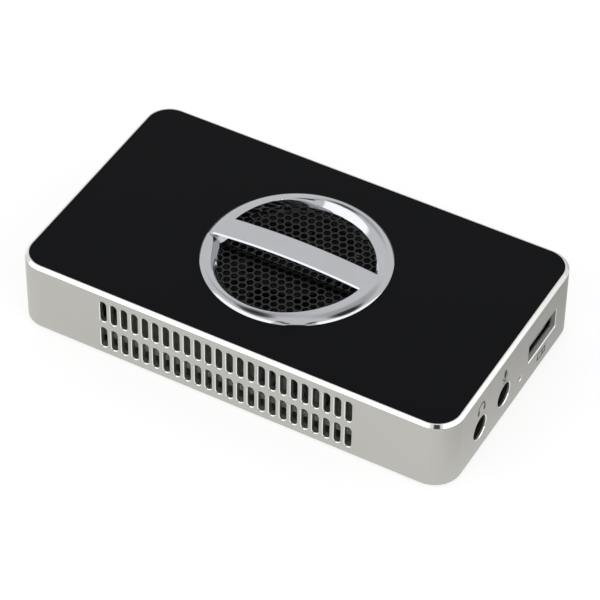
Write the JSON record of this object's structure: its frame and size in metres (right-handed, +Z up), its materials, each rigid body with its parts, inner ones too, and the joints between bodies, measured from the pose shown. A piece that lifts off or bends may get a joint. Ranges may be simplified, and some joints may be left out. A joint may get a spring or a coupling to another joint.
{
  "type": "video capture box",
  "caption": "Flat aluminium video capture box with a black top panel, a domed chrome ring over a fan grille, side vents and sockets at both ends",
  "frame": {"origin": "on the table under the middle of the box", "axes": "+Z up, +X along the box towards the audio and USB end, -Y the vented side that the picture shows"},
  "size_m": [0.1168, 0.0672, 0.0229],
  "materials": {
    "anodised_aluminium": "bead-blasted and anodised, bright chamfers",
    "black_panel": "satin black",
    "adhesive": "matte",
    "chrome_trim": "polished",
    "black_grille": "black powder coat",
    "screw_steel": "black zinc",
    "bright_steel": "nickel plated",
    "foot_rubber": "matte",
    "green_laminate": "solder mask",
    "brass": "turned",
    "black_nylon": "moulded",
    "gold_contacts": "gold flash",
    "clear_acrylic": "milky",
    "chip_epoxy": "moulded epoxy",
    "thermal_silicone": "matte",
    "black_aluminium": "black anodised",
    "can_aluminium": "drawn can",
    "silicon_steel": "laminated",
    "copper_wire": "enamelled copper",
    "ferrite": "bonded ferrite",
    "white_nylon": "moulded",
    "wire_insulation": "pvc"
  },
  "bodies": {
    "case": {"housing": "anodised_aluminium", "bottom_cover": "anodised_aluminium", "top_panel": "black_panel", "panel_adhesive": "adhesive", "trim_ring": "chrome_trim", "grille": "black_grille", "cover_screws": "screw_steel", "fan_screws": "screw_steel", "board_screws": "bright_steel", "usb_shell": "bright_steel", "hdmi_in_shell": "bright_steel", "hdmi_out_shell": "bright_steel", "crystals": "bright_steel", "rubber_feet": "foot_rubber", "main_board": "green_laminate", "fan_circuit": "green_laminate", "board_standoffs": "brass", "fan_bearing": "brass", "headphone_jack": "black_nylon", "mic_jack": "black_nylon", "usb_insulator": "black_nylon", "hdmi_in_insulator": "black_nylon", "hdmi_out_insulator": "black_nylon", "fan_frame": "black_nylon", "headphone_contacts": "gold_contacts", "mic_contacts": "gold_contacts", "usb_contacts": "gold_contacts", "hdmi_in_contacts": "gold_contacts", "hdmi_out_contacts": "gold_contacts", "status_led": "clear_acrylic", "light_pipe": "clear_acrylic", "main_chip": "chip_epoxy", "memory_chips": "chip_epoxy", "receiver_chip": "chip_epoxy", "transmitter_chip": "chip_epoxy", "usb_controller": "chip_epoxy", "audio_codec": "chip_epoxy", "flash_memory": "chip_epoxy", "power_inductors": "chip_epoxy", "thermal_pad": "thermal_silicone", "heat_sink": "black_aluminium", "bulk_capacitors": "can_aluminium", "fan_stator": "silicon_steel", "fan_coils": "copper_wire", "thrust_washer": "white_nylon", "fan_header": "white_nylon", "fan_plug": "white_nylon", "fan_lead": "wire_insulation"},
    "fan_rotor": {"fan_impeller": "black_nylon", "fan_magnet": "ferrite", "fan_shaft": "bright_steel"}
  },
  "joints": [
    {"name": "fan_spin", "type": "hinge", "parent": "case", "child": "fan_rotor", "pos_m": [0, 0, 0.015], "axis": [0, 0, 1], "continuous": true}
  ]
}
